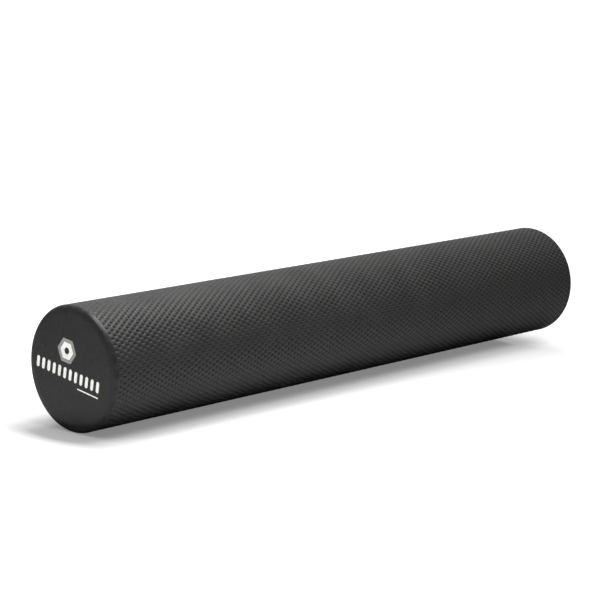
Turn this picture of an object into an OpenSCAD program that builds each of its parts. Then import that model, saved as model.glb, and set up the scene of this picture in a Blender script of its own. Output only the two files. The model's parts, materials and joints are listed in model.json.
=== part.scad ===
// Long round foam roller of closed-cell EVA foam.
// It lies along X on the plane z = 0, with the printed end at -X and the middle of its length at x = 0.
// A laminated foam core is closed in by a dense barrel skin and two smooth end skins.
// All sizes are in millimetres.

/* [Roller] */
// Length over the two flat ends
roller_length = 914; // [300:1:1000]
// Diameter over the skin
roller_diameter = 156; // [140:1:180]
// Depth of the rounded shoulder at each end, along the roller
shoulder_depth = 5.5; // [5.5:0.5:10]
// Width of the shoulder, from the flat face out to the barrel
shoulder_width = 13; // [11:0.5:18]

/* [Skin] */
// Thickness of the dense skin, on the barrel and on the ends
skin_thickness = 2.5; // [1:0.5:3.5]
// Plain band past the shoulder, before the barrel skin starts
plain_band = 0.5; // [0.5:0.5:10]

/* [Core] */
// Number of foam planks bonded together in the core
plank_count = 3; // [3:1:5]

/* [Print] */
// Depth of the ink pressed into the end skin
ink_depth = 0.3; // [0.1:0.1:0.8]
// Turn of the print about the roller's axis, clockwise as it is read
print_turn = 9.5; // [0:0.5:360]
// Width of the badge across its flats
badge_width = 29; // [20:1:34]
// Number of bars in the row
bar_count = 12; // [2:1:12]
// Height of one bar
bar_height = 14; // [8:0.5:16]
// Width of one bar
bar_width = 5; // [2:0.1:6]
// Distance between the middles of neighbouring bars
bar_pitch = 9.8; // [7:0.1:10]

/* [Hidden] */

$fn = 96;
outer_radius = roller_diameter / 2;
half_length = roller_length / 2;
cap_depth = shoulder_depth + plain_band;
core_radius = outer_radius - skin_thickness;
plank_thickness = 2 * core_radius / plank_count;

// The shoulder is a wide arc that leaves the face and a tight arc that runs into the barrel.
tight_arc = 5;
wide_arc = (pow(shoulder_width - tight_arc, 2) + pow(shoulder_depth, 2) - pow(tight_arc, 2))
    / (2 * (shoulder_depth - tight_arc));

// The print is laid out as it is read: first value to the reader's right, second value up, from the axis.
badge_place = [-11, 20];
badge_border = 4.5;
badge_eye_width = 8;
bar_foot = -14.5;
bar_row_middle = -6;
underline_size = [37, 1.6];
underline_place = [32, -20.5];
// It shrinks on a smaller flat face, so that it never runs onto the shoulder.
print_scale = min(1, (outer_radius - shoulder_width) / 65);

// Outline of the roller in its (radius, length) half plane, inset by that much all over.
module log_outline(inset) {
    radius = outer_radius - inset;
    half = half_length - inset;
    depth = shoulder_depth - inset;
    tight_middle = [outer_radius - tight_arc, half_length - shoulder_depth];
    wide_middle = [outer_radius - shoulder_width, half_length - wide_arc];
    reach = 2 * wide_arc / norm(tight_middle - wide_middle);
    past_join = wide_middle + reach * (tight_middle - wide_middle);
    difference() {
        translate([0, -half]) square([radius, 2 * half]);
        for (side = [0, 1])
            mirror([0, side])
                difference() {
                    translate([wide_middle.x, tight_middle.y]) square([2 * shoulder_width, 2 * depth]);
                    translate(tight_middle) circle(tight_arc - inset);
                    intersection() {
                        translate(wide_middle) circle(wide_arc - inset);
                        polygon([wide_middle, past_join, wide_middle + [0, 2 * wide_arc]]);
                    }
                }
    }
}

// Turns the outline around the roller's axis, which lies along X at the height of one radius.
module turned_log(inset) {
    translate([0, 0, outer_radius])
        rotate([0, 90, 0])
            rotate_extrude($fn = 180) log_outline(inset);
}

// One foam plank of the core, counted from the floor up.
module core_plank(index) {
    lowest = skin_thickness + index * plank_thickness;
    color("#3a3a3c")
        intersection() {
            turned_log(skin_thickness);
            translate([-half_length, -outer_radius, lowest])
                cube([roller_length, roller_diameter, plank_thickness]);
        }
}

// Every plank between the lowest and the highest.
module core_middle_planks() {
    for (index = [1 : 1 : plank_count - 2]) core_plank(index);
}

module barrel_skin() {
    sleeve_length = roller_length - 2 * cap_depth;
    color("#2a2a2b")
        translate([-sleeve_length / 2, 0, outer_radius])
            rotate([0, 90, 0])
                difference() {
                    cylinder(h = sleeve_length, r = outer_radius);
                    translate([0, 0, -1]) cylinder(h = sleeve_length + 2, r = core_radius);
                }
}

// Moulded cup over one end of the core: side is -1 for the printed end and 1 for the plain one.
module end_skin(side) {
    color("#2e2e2f")
        intersection() {
            difference() {
                turned_log(0);
                turned_log(skin_thickness);
            }
            translate([side * (half_length - cap_depth / 2), 0, outer_radius])
                cube([cap_depth, 2 * roller_diameter, 2 * roller_diameter], center = true);
        }
}

module printed_end_skin() {
    difference() {
        end_skin(-1);
        pressed_into_end() {
            badge_border_outline();
            badge_field_outline();
            bar_row_outline();
            underline_outline();
        }
    }
}

// Sets a flat drawing of the print into the face of the printed end, flush with it.
module pressed_into_end() {
    translate([ink_depth - half_length, 0, outer_radius])
        rotate([90, 0, -90])
            rotate([0, 0, -print_turn])
                linear_extrude(height = ink_depth) scale(print_scale) children();
}

// A hexagon, named by its width across the flats.
module hexagon(width) {
    circle(d = width / cos(30), $fn = 6);
}

module badge_border_outline() {
    translate(badge_place)
        difference() {
            hexagon(badge_width);
            hexagon(badge_width - 2 * badge_border);
        }
}

module badge_field_outline() {
    translate(badge_place)
        difference() {
            hexagon(badge_width - 2 * badge_border);
            hexagon(badge_eye_width);
        }
}

// An upright bar with round ends that stands on the line y = 0.
module pill(width, height) {
    translate([-width / 2, width / 2]) square([width, height - width]);
    for (y = [width / 2, height - width / 2]) translate([0, y]) circle(d = width, $fn = 48);
}

module bar_row_outline() {
    for (i = [0 : 1 : bar_count - 1])
        translate([bar_row_middle + (i - (bar_count - 1) / 2) * bar_pitch, bar_foot])
            pill(bar_width, bar_height);
}

module underline_outline() {
    translate(underline_place) square(underline_size, center = true);
}

module badge_border_print() {
    color("#8d8d89") pressed_into_end() badge_border_outline();
}

module badge_field_print() {
    color("#e4e4de") pressed_into_end() badge_field_outline();
}

module bar_row_print() {
    color("#e4e4de") pressed_into_end() bar_row_outline();
}

module underline_print() {
    color("#c9c9c3") pressed_into_end() underline_outline();
}

core_plank(0);  // core_lower_plank
core_middle_planks();  // core_middle_plank
core_plank(plank_count - 1);  // core_upper_plank
barrel_skin();
printed_end_skin();
end_skin(1);  // plain_end_skin
badge_border_print();
badge_field_print();
bar_row_print();
underline_print();
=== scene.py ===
"""Looks of a long round foam roller, built around its CAD frame.

The barrel skin is embossed all over with small staggered pits, the two end skins are smooth with a
rounded shoulder, and the print on one end is four films of ink. Everything is in metres, in the
frame of the CAD model: the roller lies along X on the floor, with its printed end at -X.
"""

import json
import math

import bpy
import numpy as np
from bpy.props import FloatProperty, FloatVectorProperty, IntProperty, PointerProperty
from mathutils import Matrix, Vector


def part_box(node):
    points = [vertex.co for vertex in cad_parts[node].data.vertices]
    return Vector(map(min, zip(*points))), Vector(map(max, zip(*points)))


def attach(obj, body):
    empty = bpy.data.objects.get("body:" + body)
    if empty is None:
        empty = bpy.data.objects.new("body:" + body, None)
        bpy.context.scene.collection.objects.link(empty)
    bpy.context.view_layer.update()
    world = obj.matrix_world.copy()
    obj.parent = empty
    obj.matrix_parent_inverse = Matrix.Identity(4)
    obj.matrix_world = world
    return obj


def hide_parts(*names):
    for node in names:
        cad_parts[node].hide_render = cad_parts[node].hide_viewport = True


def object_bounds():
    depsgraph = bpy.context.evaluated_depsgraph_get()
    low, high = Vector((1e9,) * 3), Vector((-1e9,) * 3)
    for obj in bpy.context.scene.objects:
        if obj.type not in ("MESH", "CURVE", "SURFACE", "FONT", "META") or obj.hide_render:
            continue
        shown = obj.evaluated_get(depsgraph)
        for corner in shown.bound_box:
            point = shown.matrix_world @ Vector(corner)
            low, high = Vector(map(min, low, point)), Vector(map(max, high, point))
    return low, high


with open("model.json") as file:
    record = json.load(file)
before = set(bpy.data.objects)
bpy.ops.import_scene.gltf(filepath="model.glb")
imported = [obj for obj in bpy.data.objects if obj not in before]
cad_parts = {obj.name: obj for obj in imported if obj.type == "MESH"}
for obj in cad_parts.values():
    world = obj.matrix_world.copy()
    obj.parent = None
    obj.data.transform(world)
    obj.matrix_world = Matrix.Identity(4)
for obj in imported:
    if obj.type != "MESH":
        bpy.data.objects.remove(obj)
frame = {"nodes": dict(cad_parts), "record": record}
CAD_LOW, CAD_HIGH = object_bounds()

bl_info = {
    "name": "Foam roller",
    "version": (1, 0, 0),
    "blender": (4, 5, 0),
    "location": "View3D > Sidebar > Foam roller",
    "description": "Builds an embossed foam roller with smooth printed ends on its CAD frame",
    "category": "Object",
}

BARREL_LOW, BARREL_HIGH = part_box("barrel_skin")
RADIUS = (BARREL_HIGH.z - BARREL_LOW.z) / 2
AXIS_HEIGHT = (BARREL_HIGH.z + BARREL_LOW.z) / 2
HALF_LENGTH = (CAD_HIGH.x - CAD_LOW.x) / 2
HALF_BARREL = (BARREL_HIGH.x - BARREL_LOW.x) / 2
END_DEPTH = HALF_LENGTH - HALF_BARREL
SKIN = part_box("core_lower_plank")[0].z
PLANKS = ("core_lower_plank", "core_middle_plank", "core_upper_plank")


def slot_colour(slot):
    """The colour that the record gives a material slot."""
    return next(m["base_color"] for m in frame["record"]["materials"] if m["slot"] == slot)


def length_setting(name, description, default):
    return FloatProperty(name=name, description=description, default=default, min=0, unit="LENGTH",
                         precision=5)


def colour_setting(name, description, default):
    return FloatVectorProperty(name=name, description=description, default=default, size=3, min=0,
                               max=1, subtype="COLOR")


class BarrelSettings(bpy.types.PropertyGroup):
    """Sizes of the embossed barrel skin."""

    pit_depth: length_setting("Pit depth", "Depth of the pits under the net between them", 0.0018)
    cell_length: length_setting("Cell length", "Distance between pits along the roller", 0.01227)
    cells_round: IntProperty(name="Cells round", description="Pits in one ring round the barrel",
                             default=68, min=12)
    pit_sharpness: FloatProperty(name="Pit sharpness", default=2.4, min=0.5,
                                 description="Above 1, pits are narrower than the net between them")
    fade: length_setting("Fade", "Length over which the emboss starts at each end", 0.003)
    waver: length_setting("Waver", "How far the barrel is out of true", 0.00015)
    steps_along: IntProperty(name="Steps along", description="Mesh steps along one cell",
                             default=8, min=4)
    steps_round: IntProperty(name="Steps round", description="Mesh steps round one cell",
                             default=8, min=4)


class EndSettings(bpy.types.PropertyGroup):
    """Sizes of the two smooth end skins."""

    shoulder_depth: length_setting("Shoulder depth", "Shoulder's depth along the roller", 0.0055)
    shoulder_width: length_setting("Shoulder width", "From the flat face out to the barrel", 0.013)
    tight_arc: length_setting("Tight arc", "Radius of the shoulder where it meets the barrel", 0.005)
    seam: length_setting("Seam", "Rounding at the seam with the barrel skin", 0.00025)
    face_recess: length_setting("Face recess", "How far the flat face lies under the ink", 0.00006)
    face_waver: length_setting("Face waver", "How far the flat face is out of true", 0.00012)
    steps_round: IntProperty(name="Steps round", description="Mesh steps round the end",
                             default=256, min=24)


class PrintSettings(bpy.types.PropertyGroup):
    """Sizes of the ink films on the printed end, laid out as they are read."""

    turn: FloatProperty(name="Turn", description="Turn of the print, clockwise as it is read",
                        default=math.radians(9.5), subtype="ANGLE")
    badge_place: FloatVectorProperty(name="Badge place", default=(-0.011, 0.020), size=2,
                                     unit="LENGTH",
                                     description="Middle of the badge, to the right and up from the axis")
    badge_width: length_setting("Badge width", "Width of the badge over its flats", 0.029)
    badge_border: length_setting("Badge border", "Width of the badge's grey border", 0.0045)
    badge_eye: length_setting("Badge eye", "Width of the bare eye in the badge", 0.008)
    bar_count: IntProperty(name="Bars", description="Number of bars in the row", default=12, min=2)
    bar_height: length_setting("Bar height", "Height of one bar", 0.014)
    bar_width: length_setting("Bar width", "Width of one bar", 0.005)
    bar_pitch: length_setting("Bar pitch", "Distance between neighbouring bars", 0.0098)
    row_place: FloatVectorProperty(name="Row place", default=(-0.006, -0.0075), size=2, unit="LENGTH",
                                   description="Middle of the row of bars, from the axis")
    line_place: FloatVectorProperty(name="Line place", default=(0.032, -0.0205), size=2, unit="LENGTH",
                                    description="Middle of the line under the bars, from the axis")
    line_size: FloatVectorProperty(name="Line size", default=(0.037, 0.0016), size=2, unit="LENGTH",
                                   description="Length and width of the line under the bars")
    corner: length_setting("Corner", "Rounding of the film's corners", 0.0006)


class FinishSettings(bpy.types.PropertyGroup):
    """Colours of the foam and the inks."""

    barrel: colour_setting("Barrel", "Embossed foam skin", slot_colour("textured_skin"))
    ends: colour_setting("Ends", "Smooth foam skin", slot_colour("smooth_skin"))
    core: colour_setting("Core", "Cut foam inside", slot_colour("core_foam"))
    grey_ink: colour_setting("Grey ink", "Border of the badge", slot_colour("grey_ink"))
    white_ink: colour_setting("White ink", "Badge, bars and line", slot_colour("white_ink"))
    dust: colour_setting("Dust", "Settled dust", (0.34, 0.33, 0.31))
    wear: colour_setting("Wear", "Rubbed edges of the foam", (0.11, 0.11, 0.112))


class StageSettings(bpy.types.PropertyGroup):
    """Camera, light and floor."""

    yaw: FloatProperty(name="Yaw", description="Heading of the camera's view, from +X towards +Y",
                       default=math.radians(42.727), subtype="ANGLE")
    pitch: FloatProperty(name="Pitch", description="How far the camera looks down",
                         default=math.radians(9.868), subtype="ANGLE")
    distance: length_setting("Distance", "Distance from the camera to its aim", 2.7934)
    aim: FloatVectorProperty(name="Aim", default=(-0.0223, 0.0306, 0.0249), size=3,
                             subtype="TRANSLATION", unit="LENGTH",
                             description="What the camera looks at, from the middle of the roller")
    focal_length: FloatProperty(name="Focal length", description="Lens on a 36 mm sensor",
                                default=124.0, min=10)
    floor: colour_setting("Floor", "Pale studio floor", (0.4, 0.4, 0.4))
    surround: FloatProperty(name="Surround", description="Brightness of the white surround",
                            default=0.35, min=0)
    scrim: FloatProperty(name="Scrim", description="Strength of the wide light through the scrim",
                         default=0.8, min=0)
    # Painted light: strength of the floor's glow. Only the camera sees it, and it is weaker beside the
    # roller as a painted shadow.
    painted_glow: FloatProperty(name="Glow", description="How far the floor glows by itself, as a light table",
                        default=0.22, min=0)
    softbox: FloatProperty(name="Softbox", description="Power of the large softbox over the roller",
                           default=12.2, min=0, subtype="POWER", unit="POWER")
    end_softbox: FloatProperty(name="End softbox", default=5.2, min=0, subtype="POWER", unit="POWER",
                               description="Power of the small softbox that lights the near shoulder")


class RollerSettings(bpy.types.PropertyGroup):
    """Everything that a user may change."""

    barrel: PointerProperty(type=BarrelSettings)
    ends: PointerProperty(type=EndSettings)
    print_: PointerProperty(type=PrintSettings)
    finish: PointerProperty(type=FinishSettings)
    stage: PointerProperty(type=StageSettings)


# ---- shader building blocks ----


def add_node(tree, kind, inputs=(), **options):
    """Adds a node. An input, by name or number, takes a value or another node's output socket."""
    node = tree.nodes.new(kind)
    for option, value in options.items():
        setattr(node, option, value)
    for key, value in dict(inputs).items():
        if isinstance(value, bpy.types.NodeSocket):
            tree.links.new(value, node.inputs[key])
        else:
            node.inputs[key].default_value = value
    return node


def math_of(tree, operation, *values):
    """The result of a Math node."""
    return add_node(tree, "ShaderNodeMath", enumerate(values), operation=operation).outputs[0]


def ramp_of(tree, value, low, high, to_low=0.0, to_high=1.0):
    """value, taken smoothly from low..high to to_low..to_high."""
    return add_node(tree, "ShaderNodeMapRange",
                    {"Value": value, "From Min": low, "From Max": high, "To Min": to_low,
                     "To Max": to_high}, interpolation_type="SMOOTHSTEP").outputs["Result"]


def mix_of(tree, share, first, second):
    """A blend of two colours."""
    node = add_node(tree, "ShaderNodeMix", data_type="RGBA")
    for key, value in (("Factor_Float", share), ("A_Color", first), ("B_Color", second)):
        socket = next(s for s in node.inputs if s.identifier == key)
        if isinstance(value, bpy.types.NodeSocket):
            tree.links.new(value, socket)
        elif key == "Factor_Float":
            socket.default_value = value
        else:
            socket.default_value = (*value, 1)[:4]
    return next(s for s in node.outputs if s.identifier == "Result_Color")


def noise_of(tree, scale, detail=2.0, roughness=0.5, stretch=(1, 1, 1), place="Object"):
    """Noise from 0 to 1. scale is in cycles per metre and may be a socket."""
    where = add_node(tree, "ShaderNodeTexCoord").outputs[place]
    if tuple(stretch) != (1, 1, 1):
        where = add_node(tree, "ShaderNodeMapping", {"Vector": where, "Scale": stretch}).outputs[0]
    return add_node(tree, "ShaderNodeTexNoise",
                    {"Vector": where, "Scale": scale, "Detail": detail,
                     "Roughness": roughness}).outputs["Fac"]


def effect_group(name, inputs, outputs, fill):
    """A shader node group, built once. fill(tree, inputs) returns a socket for each output."""
    if name in bpy.data.node_groups:
        return bpy.data.node_groups[name]
    tree = bpy.data.node_groups.new(name, "ShaderNodeTree")
    for socket, default in inputs.items():
        made = tree.interface.new_socket(socket, in_out="INPUT", socket_type="NodeSocketFloat")
        made.default_value = default
    for socket in outputs:
        tree.interface.new_socket(socket, in_out="OUTPUT", socket_type="NodeSocketFloat")
    entry = tree.nodes.new("NodeGroupInput")
    leave = tree.nodes.new("NodeGroupOutput")
    for socket, source in zip(outputs, fill(tree, entry.outputs)):
        tree.links.new(source, leave.inputs[socket])
    return tree


def place_group(tree, group, **values):
    """Places a node group with its own values: Cell_size stands for the input Cell size."""
    node = tree.nodes.new("ShaderNodeGroup")
    node.node_tree = group
    for name, value in values.items():
        node.inputs[name.replace("_", " ")].default_value = value
    return node.outputs


def foam_cells():
    """Closed foam cells that show through a skin, and slow drifts of its shade."""

    def fill(tree, given):
        density = math_of(tree, "DIVIDE", 1.0, given["Cell size"])
        where = add_node(tree, "ShaderNodeTexCoord").outputs["Object"]
        cells = add_node(tree, "ShaderNodeTexVoronoi", {"Vector": where, "Scale": density},
                         feature="F1").outputs["Distance"]
        fine = noise_of(tree, math_of(tree, "MULTIPLY", density, 2.7), 3.0, 0.6)
        drift = noise_of(tree, math_of(tree, "DIVIDE", 1.0, given["Drift size"]), 3.0, 0.55)
        height = math_of(tree, "ADD", math_of(tree, "MULTIPLY", cells, 0.6),
                         math_of(tree, "MULTIPLY", fine, 0.5))
        return height, ramp_of(tree, drift, 0.3, 0.7)

    return effect_group("Foam cells", {"Cell size": 0.0006, "Drift size": 0.05}, ("Height", "Drift"),
                        fill)


def edge_wear():
    """Rubbed convex edges, broken up by noise."""

    def fill(tree, given):
        bend = add_node(tree, "ShaderNodeNewGeometry").outputs["Pointiness"]
        convex = ramp_of(tree, math_of(tree, "SUBTRACT", bend, 0.5), given["Start"], given["Full"])
        broken = noise_of(tree, math_of(tree, "DIVIDE", 1.0, given["Patch size"]), 4.0, 0.65)
        return (math_of(tree, "MULTIPLY", convex, ramp_of(tree, broken, 0.4, 0.65)),)

    return effect_group("Edge wear", {"Start": 0.005, "Full": 0.05, "Patch size": 0.012}, ("Wear",),
                        fill)


def settled_dust():
    """Fine dust on what faces up, in specks and in a thin film."""

    def fill(tree, given):
        normal = add_node(tree, "ShaderNodeNewGeometry").outputs["Normal"]
        up = ramp_of(tree, add_node(tree, "ShaderNodeSeparateXYZ", {0: normal}).outputs["Z"], 0.1, 0.95)
        speck = noise_of(tree, math_of(tree, "DIVIDE", 1.0, given["Speck size"]), 5.0, 0.75)
        film = noise_of(tree, 14.0, 3.0, 0.6)
        cover = math_of(tree, "ADD", ramp_of(tree, speck, 0.58, 0.78),
                        math_of(tree, "MULTIPLY", ramp_of(tree, film, 0.35, 0.75), 0.4))
        return (math_of(tree, "MULTIPLY", math_of(tree, "MULTIPLY", up, cover), given["Amount"]),)

    return effect_group("Settled dust", {"Speck size": 0.0012, "Amount": 0.1}, ("Dust",), fill)


def handling_scuffs():
    """Faint scuffs that run along one way of the surface."""

    def fill(tree, given):
        spread = math_of(tree, "DIVIDE", 1.0, given["Scuff width"])
        across = noise_of(tree, spread, 3.0, 0.6, stretch=(0.12, 1, 1))
        along = noise_of(tree, spread, 3.0, 0.6, stretch=(1, 0.15, 0.15))
        lines = math_of(tree, "MAXIMUM", ramp_of(tree, across, 0.60, 0.74),
                        ramp_of(tree, along, 0.60, 0.74))
        patch = ramp_of(tree, noise_of(tree, 18.0, 2.0, 0.5), 0.45, 0.65)
        return (math_of(tree, "MULTIPLY", lines, patch),)

    return effect_group("Handling scuffs", {"Scuff width": 0.0015}, ("Scuff",), fill)


def darker(colour, share):
    return tuple(c * share for c in colour)


def new_material(name):
    """An empty material with a Principled BSDF wired to its output: (material, tree, shader)."""
    material = bpy.data.materials.new(name)
    material.use_nodes = True
    tree = material.node_tree
    tree.nodes.clear()
    shader = tree.nodes.new("ShaderNodeBsdfPrincipled")
    out = tree.nodes.new("ShaderNodeOutputMaterial")
    tree.links.new(shader.outputs["BSDF"], out.inputs["Surface"])
    return material, tree, shader


def finish_surface(tree, shader, colour, roughness, height, depth):
    """Feeds the shader's colour and roughness, and its normal from a bump of that depth in metres."""
    tree.links.new(colour, shader.inputs["Base Color"])
    tree.links.new(roughness, shader.inputs["Roughness"])
    bump = add_node(tree, "ShaderNodeBump", {"Height": height, "Distance": depth, "Strength": 1.0})
    tree.links.new(bump.outputs["Normal"], shader.inputs["Normal"])


def barrel_foam(finish):
    """Matt embossed foam skin with painted shade in the pits, rubbed on the net between them."""
    material, tree, shader = new_material("embossed foam skin")
    shader.inputs["IOR"].default_value = 1.3
    cells = place_group(tree, foam_cells(), Cell_size=0.0009, Drift_size=0.06)
    wear = place_group(tree, edge_wear(), Start=0.01, Full=0.12, Patch_size=0.02)["Wear"]
    dust = place_group(tree, settled_dust(), Speck_size=0.0011, Amount=0.06)["Dust"]
    scuff = place_group(tree, handling_scuffs(), Scuff_width=0.0022)["Scuff"]
    pit = add_node(tree, "ShaderNodeAttribute", attribute_name="pit").outputs["Fac"]
    colour = mix_of(tree, cells["Drift"], darker(finish.barrel, 0.85), darker(finish.barrel, 1.15))
    # Painted shade: the colour darkens with the pit attribute and stands in for the shade in the pits.
    colour = mix_of(tree, ramp_of(tree, pit, 0.3, 0.9, 0.0, 0.8), colour, darker(finish.barrel, 0.3))
    colour = mix_of(tree, math_of(tree, "MULTIPLY", wear, 0.35), colour, finish.wear)
    colour = mix_of(tree, dust, colour, finish.dust)
    roughness = ramp_of(tree, cells["Drift"], 0.0, 1.0, 0.38, 0.46)
    roughness = math_of(tree, "SUBTRACT", roughness, math_of(tree, "MULTIPLY", scuff, 0.12))
    height = math_of(tree, "SUBTRACT", cells["Height"], math_of(tree, "MULTIPLY", scuff, 0.5))
    finish_surface(tree, shader, colour, roughness, height, 0.00012)
    return material


def end_foam(finish):
    """Smooth moulded foam skin with a low gloss, rubbed round its shoulder."""
    material, tree, shader = new_material("smooth foam skin")
    shader.inputs["IOR"].default_value = 1.27
    cells = place_group(tree, foam_cells(), Cell_size=0.0007, Drift_size=0.035)
    wear = place_group(tree, edge_wear(), Start=0.002, Full=0.03, Patch_size=0.008)["Wear"]
    dust = place_group(tree, settled_dust(), Speck_size=0.0009, Amount=0.05)["Dust"]
    scuff = place_group(tree, handling_scuffs(), Scuff_width=0.0012)["Scuff"]
    colour = mix_of(tree, cells["Drift"], darker(finish.ends, 0.88), darker(finish.ends, 1.12))
    colour = mix_of(tree, math_of(tree, "MULTIPLY", wear, 0.3), colour, finish.wear)
    colour = mix_of(tree, dust, colour, finish.dust)
    roughness = ramp_of(tree, cells["Drift"], 0.0, 1.0, 0.25, 0.33)
    roughness = math_of(tree, "ADD", roughness, math_of(tree, "MULTIPLY", scuff, 0.15))
    height = math_of(tree, "ADD", cells["Height"], math_of(tree, "MULTIPLY", scuff, 0.4))
    finish_surface(tree, shader, colour, roughness, height, 0.00005)
    return material


def cut_foam(finish):
    """Cut faces of the core planks, with open cells and painted shade in their hollows."""
    material, tree, shader = new_material("cut core foam")
    shader.inputs["Specular IOR Level"].default_value = 0.3
    cells = place_group(tree, foam_cells(), Cell_size=0.0014, Drift_size=0.05)
    wear = place_group(tree, edge_wear(), Start=0.005, Full=0.06, Patch_size=0.01)["Wear"]
    colour = mix_of(tree, cells["Drift"], darker(finish.core, 0.8), darker(finish.core, 1.2))
    # Painted shade: the colour darkens in the low parts of the cells, where their hollows would lie in
    # shade.
    colour = mix_of(tree, ramp_of(tree, cells["Height"], 0.3, 0.6), darker(finish.core, 0.55), colour)
    colour = mix_of(tree, math_of(tree, "MULTIPLY", wear, 0.4), colour, finish.wear)
    roughness = ramp_of(tree, cells["Drift"], 0.0, 1.0, 0.85, 0.95)
    finish_surface(tree, shader, colour, roughness, cells["Height"], 0.0005)
    return material


def ink_film(name, ink, finish):
    """A thin matt film of ink, with pinholes and rubbed edges where the foam shows."""
    material, tree, shader = new_material(name)
    shader.inputs["Specular IOR Level"].default_value = 0.4
    cells = place_group(tree, foam_cells(), Cell_size=0.0005, Drift_size=0.012)
    wear = place_group(tree, edge_wear(), Start=0.01, Full=0.2, Patch_size=0.002)["Wear"]
    scuff = place_group(tree, handling_scuffs(), Scuff_width=0.0008)["Scuff"]
    pinholes = ramp_of(tree, noise_of(tree, 1500.0, 4.0, 0.7), 0.64, 0.76)
    bare = math_of(tree, "MAXIMUM", pinholes, math_of(tree, "MULTIPLY", wear, 0.7))
    bare = math_of(tree, "MAXIMUM", bare, math_of(tree, "MULTIPLY", scuff, 0.45))
    colour = mix_of(tree, cells["Drift"], darker(ink, 0.93), ink)
    colour = mix_of(tree, bare, colour, finish.ends)
    roughness = ramp_of(tree, cells["Drift"], 0.0, 1.0, 0.42, 0.55)
    finish_surface(tree, shader, colour, roughness, cells["Height"], 0.00003)
    return material


def away_from_roller(tree, near, far):
    """From 0 on the floor within near of the roller's foot to 1 at far, and sooner past its ends: the
    mask of the floor's painted shadow and painted glow.
    """
    shift = 0.07
    half_foot = HALF_LENGTH - 0.05
    end_haste = 3.0
    where = add_node(tree, "ShaderNodeTexCoord").outputs["Object"]
    place = add_node(tree, "ShaderNodeSeparateXYZ", {0: where}).outputs
    from_middle = math_of(tree, "ABSOLUTE", math_of(tree, "ADD", place["X"], shift))
    past_end = math_of(tree, "SUBTRACT", from_middle, half_foot)
    past_end = math_of(tree, "MULTIPLY", math_of(tree, "MAXIMUM", past_end, 0.0), end_haste)
    squares = math_of(tree, "ADD", math_of(tree, "MULTIPLY", past_end, past_end),
                      math_of(tree, "MULTIPLY", place["Y"], place["Y"]))
    return ramp_of(tree, math_of(tree, "SQRT", squares), near, far)


def floor_paper(stage):
    """Pale matt floor with a painted shadow beside the roller: darker paper and a weaker painted glow to
    the camera, and darker paper for the light thrown back onto the roller.
    """
    material, tree, shader = new_material("pale studio floor")
    shader.inputs["Specular IOR Level"].default_value = 0.15
    drift = noise_of(tree, 2.0, 3.0)
    seen = add_node(tree, "ShaderNodeLightPath").outputs["Is Camera Ray"]
    open_paper = mix_of(tree, drift, darker(stage.floor, 0.985), stage.floor)
    # Painted shadow: to the camera the paper is darker beside the roller's foot.
    clear = away_from_roller(tree, 0.5 * RADIUS, 1.6 * RADIUS)
    paper_with_painted_shadow = mix_of(tree, clear, darker(stage.floor, 0.4), open_paper)
    # Painted shade: to all light but the camera's, the floor is much darker beside the roller and
    # brighter than its own colour farther out, so the light it throws back leaves the roller's underside
    # dark.
    clear_of_painted_bounce_shade = away_from_roller(tree, 0.6 * RADIUS, 1.05 * RADIUS)
    bounce_colour_with_painted_shade = mix_of(tree, clear_of_painted_bounce_shade, darker(stage.floor, 0.1), darker(stage.floor, 1.6))
    colour = mix_of(tree, seen, bounce_colour_with_painted_shade, paper_with_painted_shadow)
    roughness = ramp_of(tree, drift, 0.2, 0.8, 0.8, 0.9)
    finish_surface(tree, shader, colour, roughness, noise_of(tree, 300.0, 3.0), 0.0001)
    # Painted light: the floor glows to the camera though it is no lamp. The glow is weaker beside the
    # roller as a painted shadow and strongest far out.
    beside = ramp_of(tree, away_from_roller(tree, 0.35 * RADIUS, RADIUS), 0.0, 1.0, 1.0, 1.75)
    painted_glow_far = math_of(tree, "MULTIPLY", away_from_roller(tree, RADIUS, 4 * RADIUS), 2.75)
    painted_glow = math_of(tree, "MULTIPLY", math_of(tree, "ADD", beside, painted_glow_far), stage.painted_glow)
    painted_glow = math_of(tree, "MULTIPLY", seen, painted_glow)
    shader.inputs["Emission Color"].default_value = (1, 1, 1, 1)
    tree.links.new(painted_glow, shader.inputs["Emission Strength"])
    return material


# ---- mesh building blocks ----


def new_piece(name, points, faces, material):
    """A smooth-shaded mesh object in the row frame."""
    mesh = bpy.data.meshes.new(name)
    mesh.from_pydata(points, [], faces)
    mesh.materials.append(material)
    mesh.shade_smooth()
    piece = bpy.data.objects.new(name, mesh)
    bpy.context.scene.collection.objects.link(piece)
    return piece


def quads_between_rings(ring_count, around, closed):
    """Four-sided faces between each ring of points and the next, and from the last to the first."""
    ring = np.arange(ring_count if closed else ring_count - 1)[:, None]
    spoke = np.arange(around)[None, :]
    after, beside = (ring + 1) % ring_count, (spoke + 1) % around
    corners = (ring * around + spoke, ring * around + beside, after * around + beside,
               after * around + spoke)
    return np.stack(corners, -1).reshape(-1, 4).tolist()


def turned_points(along, radius, turn):
    """Points at those places along X, distances from the axis and angles round it from the top."""
    return np.stack([along, -radius * np.sin(turn), AXIS_HEIGHT + radius * np.cos(turn)], -1)


def slow_waver(along, turn, size):
    """A smooth unevenness from 0 to size, as hand-finished foam has."""
    waves = (np.sin(2 * turn + 9 * along) + np.sin(3 * turn - 23 * along + 1.3)
             + np.sin(5 * turn + 41 * along + 2.1))
    return size * (0.5 + waves / 6)


def pit_share(along, turn, barrel):
    """How deep in a pit a point of the barrel is, from 0 on the net to 1 at a pit's bottom."""
    wave = np.cos(2 * math.pi * along / barrel.cell_length) * np.cos(barrel.cells_round * turn)
    start = np.clip((HALF_BARREL - np.abs(along)) / barrel.fade, 0, 1)
    return ((1 + wave) / 2) ** barrel.pit_sharpness * start * start * (3 - 2 * start)


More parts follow.
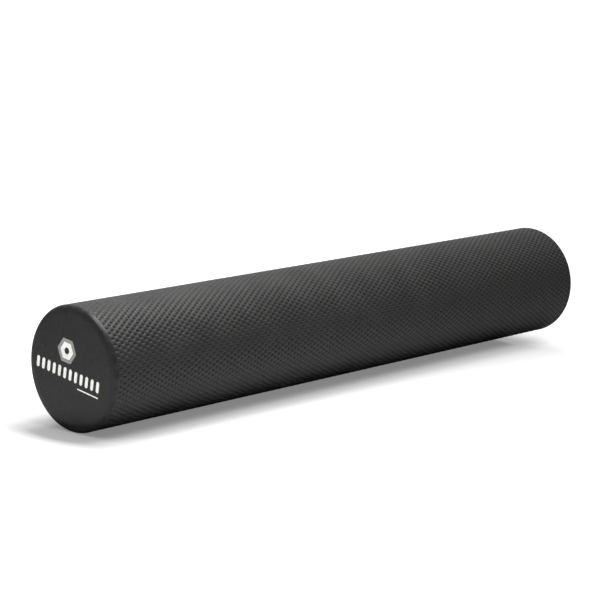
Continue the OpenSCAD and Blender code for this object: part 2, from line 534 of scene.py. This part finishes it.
def build_barrel_skin(settings):
    """The embossed sleeve, closed by its two ring faces and its bore."""
    barrel, seam = settings.barrel, settings.ends.seam
    around = barrel.cells_round * barrel.steps_round
    step = barrel.cell_length / barrel.steps_along
    inner_count = int((HALF_BARREL - seam) / step)
    grid = np.arange(-inner_count, inner_count + 1) * step
    places = np.concatenate([[seam - HALF_BARREL], grid[1:-1], [HALF_BARREL - seam]])
    along, turn = np.meshgrid(places, np.arange(around) * 2 * math.pi / around, indexing="ij")
    pit = pit_share(along, turn, barrel)
    radius = RADIUS - barrel.pit_depth * pit - slow_waver(along, turn, barrel.waver)
    outside = turned_points(along, radius, turn)
    edge = np.ones((1, around))
    rims = [turned_points(edge * place, edge * rim, turn[:1])
            for place, rim in ((HALF_BARREL, RADIUS - seam - barrel.waver),
                               (HALF_BARREL, RADIUS - SKIN),
                               (-HALF_BARREL, RADIUS - SKIN),
                               (-HALF_BARREL, RADIUS - seam - barrel.waver))]
    points = np.concatenate([outside, *rims]).reshape(-1, 3)
    faces = quads_between_rings(len(places) + len(rims), around, closed=True)
    piece = new_piece("barrel_skin_embossed", points.tolist(), faces, barrel_foam(settings.finish))
    share = piece.data.attributes.new("pit", "FLOAT", "POINT")
    share.data.foreach_set("value", np.concatenate([pit.ravel(), np.zeros(len(rims) * around)]))
    return piece


def shoulder_arcs(ends, inset):
    """(depth behind the face, distance from the axis) over a wide arc and a tight one that meet."""
    depth, width, tight = ends.shoulder_depth, ends.shoulder_width, ends.tight_arc
    wide = ((width - tight) ** 2 + depth ** 2 - tight ** 2) / (2 * (depth - tight))
    meet = math.atan2(width - tight, wide - depth)
    points = []
    for radius, middle_depth, middle_radius, angles in (
            (wide, wide, RADIUS - width, np.linspace(0, meet, 12)),
            (tight, depth, RADIUS - tight, np.linspace(meet, math.pi / 2, 10)[1:])):
        points += [(middle_depth - (radius - inset) * math.cos(a),
                    middle_radius + (radius - inset) * math.sin(a)) for a in angles]
    return points


def end_profile(ends):
    """(depth behind the face, distance from the axis) over an end skin's outside and back inside."""
    hub = RADIUS - ends.shoulder_width
    face_steps, back_steps = 18, 4
    face = [(ends.face_recess, hub * step / face_steps) for step in range(1, face_steps)]
    shoulder = [(max(depth, ends.face_recess), radius) for depth, radius in shoulder_arcs(ends, 0)]
    lip = [(END_DEPTH - ends.seam, RADIUS), (END_DEPTH - 0.3 * ends.seam, RADIUS - 0.3 * ends.seam),
           (END_DEPTH, RADIUS - ends.seam), (END_DEPTH, RADIUS - SKIN)]
    hollow = list(reversed(shoulder_arcs(ends, SKIN)))
    back = [(SKIN, hub * step / back_steps) for step in range(back_steps - 1, 0, -1)]
    return np.array(face + shoulder + lip + hollow + back)


def build_end_skin(name, side, settings, material):
    """A smooth cup over one end: side is -1 for the printed end and 1 for the plain one."""
    ends = settings.ends
    profile = end_profile(ends)
    around = ends.steps_round
    depth, turn = np.meshgrid(profile[:, 0], np.arange(around) * 2 * math.pi / around, indexing="ij")
    radius = np.repeat(profile[:, 1:2], around, axis=1)
    flat = np.clip((RADIUS - ends.shoulder_width - radius) / ends.shoulder_width, 0, 1)
    facing_out = (depth <= ends.face_recess * 1.01).astype(float)
    sway = slow_waver(radius * 2.3, turn, ends.face_waver) * flat * facing_out
    points = turned_points(side * (HALF_LENGTH - depth - sway), radius, turn).reshape(-1, 3)
    middles = [[side * (HALF_LENGTH - ends.face_recess), 0, AXIS_HEIGHT],
               [side * (HALF_LENGTH - SKIN), 0, AXIS_HEIGHT]]
    faces = quads_between_rings(len(profile), around, closed=False)
    total = len(points)
    last = total - around
    for spoke in range(around):
        beside = (spoke + 1) % around
        faces.append((beside, spoke, total))
        faces.append((last + spoke, last + beside, total + 1))
    if side > 0:
        faces = [tuple(reversed(face)) for face in faces]
    return new_piece(name, points.tolist() + middles, faces, material)


def rounded_outline(corners, rounding):
    """A closed outline with each of its convex corners rounded."""
    outline = []
    for index, corner in enumerate(corners):
        before, here, after = (Vector(corners[index - 1]), Vector(corner),
                               Vector(corners[(index + 1) % len(corners)]))
        to_before, to_after = (before - here).normalized(), (after - here).normalized()
        half_angle = to_before.angle(to_after) / 2
        centre = here + (to_before + to_after).normalized() * rounding / math.sin(half_angle)
        start = here + to_before * rounding / math.tan(half_angle) - centre
        sweep = math.pi - 2 * half_angle
        for step in range(9):
            outline.append(centre + Matrix.Rotation(sweep * step / 8, 2) @ start)
    return outline


def rectangle(middle, size):
    """Corners of an upright rectangle, anticlockwise."""
    (x, y), (w, h) = middle, (size[0] / 2, size[1] / 2)
    return [(x - w, y - h), (x + w, y - h), (x + w, y + h), (x - w, y + h)]


def hexagon(middle, width):
    """Corners of a hexagon with that width over its flats, anticlockwise."""
    reach = width / 2 / math.cos(math.radians(30))
    return [(middle[0] + reach * math.cos(math.radians(60 * i)),
             middle[1] + reach * math.sin(math.radians(60 * i))) for i in range(6)]


def build_film(name, node, outlines, settings, material):
    """A film of ink between outlines, flush with the CAD's end face and proud of the foam's."""
    thickness = settings.ends.face_recess * 1.5
    drawing = bpy.data.curves.new(name, "CURVE")
    drawing.dimensions = "2D"
    drawing.fill_mode = "BOTH"
    drawing.extrude = thickness / 2 * 0.6
    drawing.bevel_depth = thickness / 2 * 0.4
    drawing.bevel_resolution = 2
    for outline in outlines:
        spline = drawing.splines.new("POLY")
        spline.points.add(len(outline) - 1)
        for point, (right, up) in zip(spline.points, outline):
            point.co = (right, up, 0, 1)
        spline.use_cyclic_u = True
    pen = bpy.data.objects.new(name + "_drawing", drawing)
    bpy.context.scene.collection.objects.link(pen)
    as_read = Matrix(((0, 0, -1, -HALF_LENGTH + thickness / 2), (-1, 0, 0, 0),
                      (0, 1, 0, AXIS_HEIGHT), (0, 0, 0, 1)))
    mesh = bpy.data.meshes.new_from_object(pen.evaluated_get(bpy.context.evaluated_depsgraph_get()))
    mesh.transform(as_read @ Matrix.Rotation(-settings.print_.turn, 4, "Z"))
    bpy.data.objects.remove(pen)
    mesh.name = name
    mesh.materials.clear()
    mesh.materials.append(material)
    film = bpy.data.objects.new(name, mesh)
    bpy.context.scene.collection.objects.link(film)
    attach(film, "root")
    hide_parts(node)
    return film


# ---- operators: one for each piece or group of like pieces, and one for the stage ----


class ROLLER_OT_core_planks(bpy.types.Operator):
    """Finish the bonded foam planks of the core"""

    bl_idname = "roller.core_planks"
    bl_label = "Core planks"

    def execute(self, context):
        material = cut_foam(context.scene.roller.finish)
        for node in PLANKS:
            frame["nodes"][node].data.materials.clear()
            frame["nodes"][node].data.materials.append(material)
        return {"FINISHED"}


class ROLLER_OT_barrel_skin(bpy.types.Operator):
    """Build the embossed skin round the barrel"""

    bl_idname = "roller.barrel_skin"
    bl_label = "Barrel skin"

    def execute(self, context):
        skin = build_barrel_skin(context.scene.roller)
        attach(skin, "root")
        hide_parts("barrel_skin")
        return {"FINISHED"}


class ROLLER_OT_end_skins(bpy.types.Operator):
    """Build the two smooth end skins"""

    bl_idname = "roller.end_skins"
    bl_label = "End skins"

    def execute(self, context):
        settings = context.scene.roller
        material = end_foam(settings.finish)
        for node, side in (("printed_end_skin", -1), ("plain_end_skin", 1)):
            skin = build_end_skin(node + "_moulded", side, settings, material)
            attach(skin, "root")
            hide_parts(node)
        return {"FINISHED"}


class ROLLER_OT_end_print(bpy.types.Operator):
    """Lay the four ink films on the printed end"""

    bl_idname = "roller.end_print"
    bl_label = "End print"

    def execute(self, context):
        settings = context.scene.roller
        layout, finish = settings.print_, settings.finish
        grey = ink_film("grey ink", finish.grey_ink, finish)
        white = ink_film("white ink", finish.white_ink, finish)
        rim, field, eye = (
            rounded_outline(hexagon(layout.badge_place, width), layout.corner)
            for width in (layout.badge_width, layout.badge_width - 2 * layout.badge_border,
                          layout.badge_eye))
        bars = [rounded_outline(
            rectangle((layout.row_place[0] + (i - (layout.bar_count - 1) / 2) * layout.bar_pitch,
                       layout.row_place[1]), (layout.bar_width, layout.bar_height)),
            layout.bar_width * 0.498) for i in range(layout.bar_count)]
        line = rounded_outline(rectangle(layout.line_place, layout.line_size), layout.corner)
        for name, slot, outlines, material in (
                ("badge_border", "grey_ink", [rim, field], grey),
                ("badge_field", "white_ink", [field, eye], white),
                ("bar_row", "white_ink", bars, white),
                ("underline", "white_ink", [line], white)):
            build_film(name + "_film", name + "_print", outlines, settings, material)
        return {"FINISHED"}


def softbox(name, place, aim, size, power):
    """A large soft lamp at place that faces aim."""
    lamp = bpy.data.lights.new(name, "AREA")
    lamp.shape, lamp.size, lamp.size_y = "RECTANGLE", *size
    lamp.energy = power
    holder = bpy.data.objects.new(name, lamp)
    holder.location = place
    holder.rotation_euler = (Vector(aim) - Vector(place)).to_track_quat("-Z", "Y").to_euler()
    bpy.context.scene.collection.objects.link(holder)
    return holder


def scrim_light(toward, strength, spread):
    """Wide even light from the direction of toward, as through a large scrim."""
    lamp = bpy.data.lights.new("scrim light", "SUN")
    lamp.energy = strength
    lamp.angle = spread
    holder = bpy.data.objects.new("scrim light", lamp)
    holder.rotation_euler = Vector(toward).to_track_quat("Z", "Y").to_euler()
    bpy.context.scene.collection.objects.link(holder)
    return holder


def build_floor(stage):
    """A wide flat floor."""
    reach = 80.0
    corners = [(-reach, -reach, 0), (reach, -reach, 0), (reach, reach, 0), (-reach, reach, 0)]
    return new_piece("studio_floor", corners, [(0, 1, 2, 3)], floor_paper(stage))


def build_surround(stage):
    """White surround: full white to the camera, and softer as a light."""
    full_white = 1.1
    world = bpy.data.worlds.new("studio surround")
    world.use_nodes = True
    tree = world.node_tree
    tree.nodes.clear()
    seen = add_node(tree, "ShaderNodeLightPath").outputs["Is Camera Ray"]
    strength = ramp_of(tree, seen, 0.0, 1.0, stage.surround, full_white)
    back = add_node(tree, "ShaderNodeBackground", {"Color": (1, 1, 1, 1), "Strength": strength})
    out = tree.nodes.new("ShaderNodeOutputWorld")
    tree.links.new(back.outputs[0], out.inputs["Surface"])
    bpy.context.scene.world = world


def build_camera(stage):
    """A camera that looks along its yaw and pitch at a point near the roller's middle."""
    forward = Vector((math.cos(stage.pitch) * math.cos(stage.yaw),
                      math.cos(stage.pitch) * math.sin(stage.yaw), -math.sin(stage.pitch)))
    data = bpy.data.cameras.new("studio camera")
    data.sensor_width = 36
    data.lens = stage.focal_length
    camera = bpy.data.objects.new("studio camera", data)
    camera.location = Vector((0, 0, AXIS_HEIGHT)) + Vector(stage.aim) - forward * stage.distance
    camera.rotation_euler = forward.to_track_quat("-Z", "Y").to_euler()
    bpy.context.scene.collection.objects.link(camera)
    bpy.context.scene.camera = camera


class ROLLER_OT_stage(bpy.types.Operator):
    """Set up the floor, the soft light and the camera"""

    bl_idname = "roller.stage"
    bl_label = "Stage"

    def execute(self, context):
        stage = context.scene.roller.stage
        build_floor(stage)
        build_surround(stage)
        scrim_light((0.6, 0.35, 0.75), stage.scrim, math.radians(90))
        over = (0.72 * -HALF_LENGTH, -0.12, 0.9)
        softbox("overhead softbox", over, (over[0], 0, AXIS_HEIGHT), (0.65, 0.55), stage.softbox)
        before = (2.15 * -HALF_LENGTH, 0.02, 0.9)
        softbox("end softbox", before, (-HALF_LENGTH, 0, 2 * RADIUS), (0.26, 0.45), stage.end_softbox)
        build_camera(stage)
        context.scene.view_settings.view_transform = "Standard"
        return {"FINISHED"}


STEPS = (ROLLER_OT_core_planks, ROLLER_OT_barrel_skin, ROLLER_OT_end_skins, ROLLER_OT_end_print,
         ROLLER_OT_stage)


class ROLLER_PT_sidebar(bpy.types.Panel):
    """Lists the steps that build the roller"""

    bl_idname = "ROLLER_PT_sidebar"
    bl_label = "Foam roller"
    bl_space_type = "VIEW_3D"
    bl_region_type = "UI"
    bl_category = "Foam roller"

    def draw(self, context):
        for step in STEPS:
            self.layout.operator(step.bl_idname)
        for group in ("barrel", "ends", "print_", "finish", "stage"):
            settings = getattr(context.scene.roller, group)
            box = self.layout.box()
            for name in settings.__annotations__:
                box.prop(settings, name)


CLASSES = (BarrelSettings, EndSettings, PrintSettings, FinishSettings, StageSettings, RollerSettings,
           *STEPS, ROLLER_PT_sidebar)


def register():
    for item in CLASSES:
        bpy.utils.register_class(item)
    bpy.types.Scene.roller = PointerProperty(type=RollerSettings)


def unregister():
    del bpy.types.Scene.roller
    for item in reversed(CLASSES):
        bpy.utils.unregister_class(item)


def main():
    """Builds the roller and its stage."""
    register()
    bpy.ops.roller.core_planks()
    bpy.ops.roller.barrel_skin()
    bpy.ops.roller.end_skins()
    bpy.ops.roller.end_print()
    bpy.ops.roller.stage()


if __name__ == "__main__":
    main()
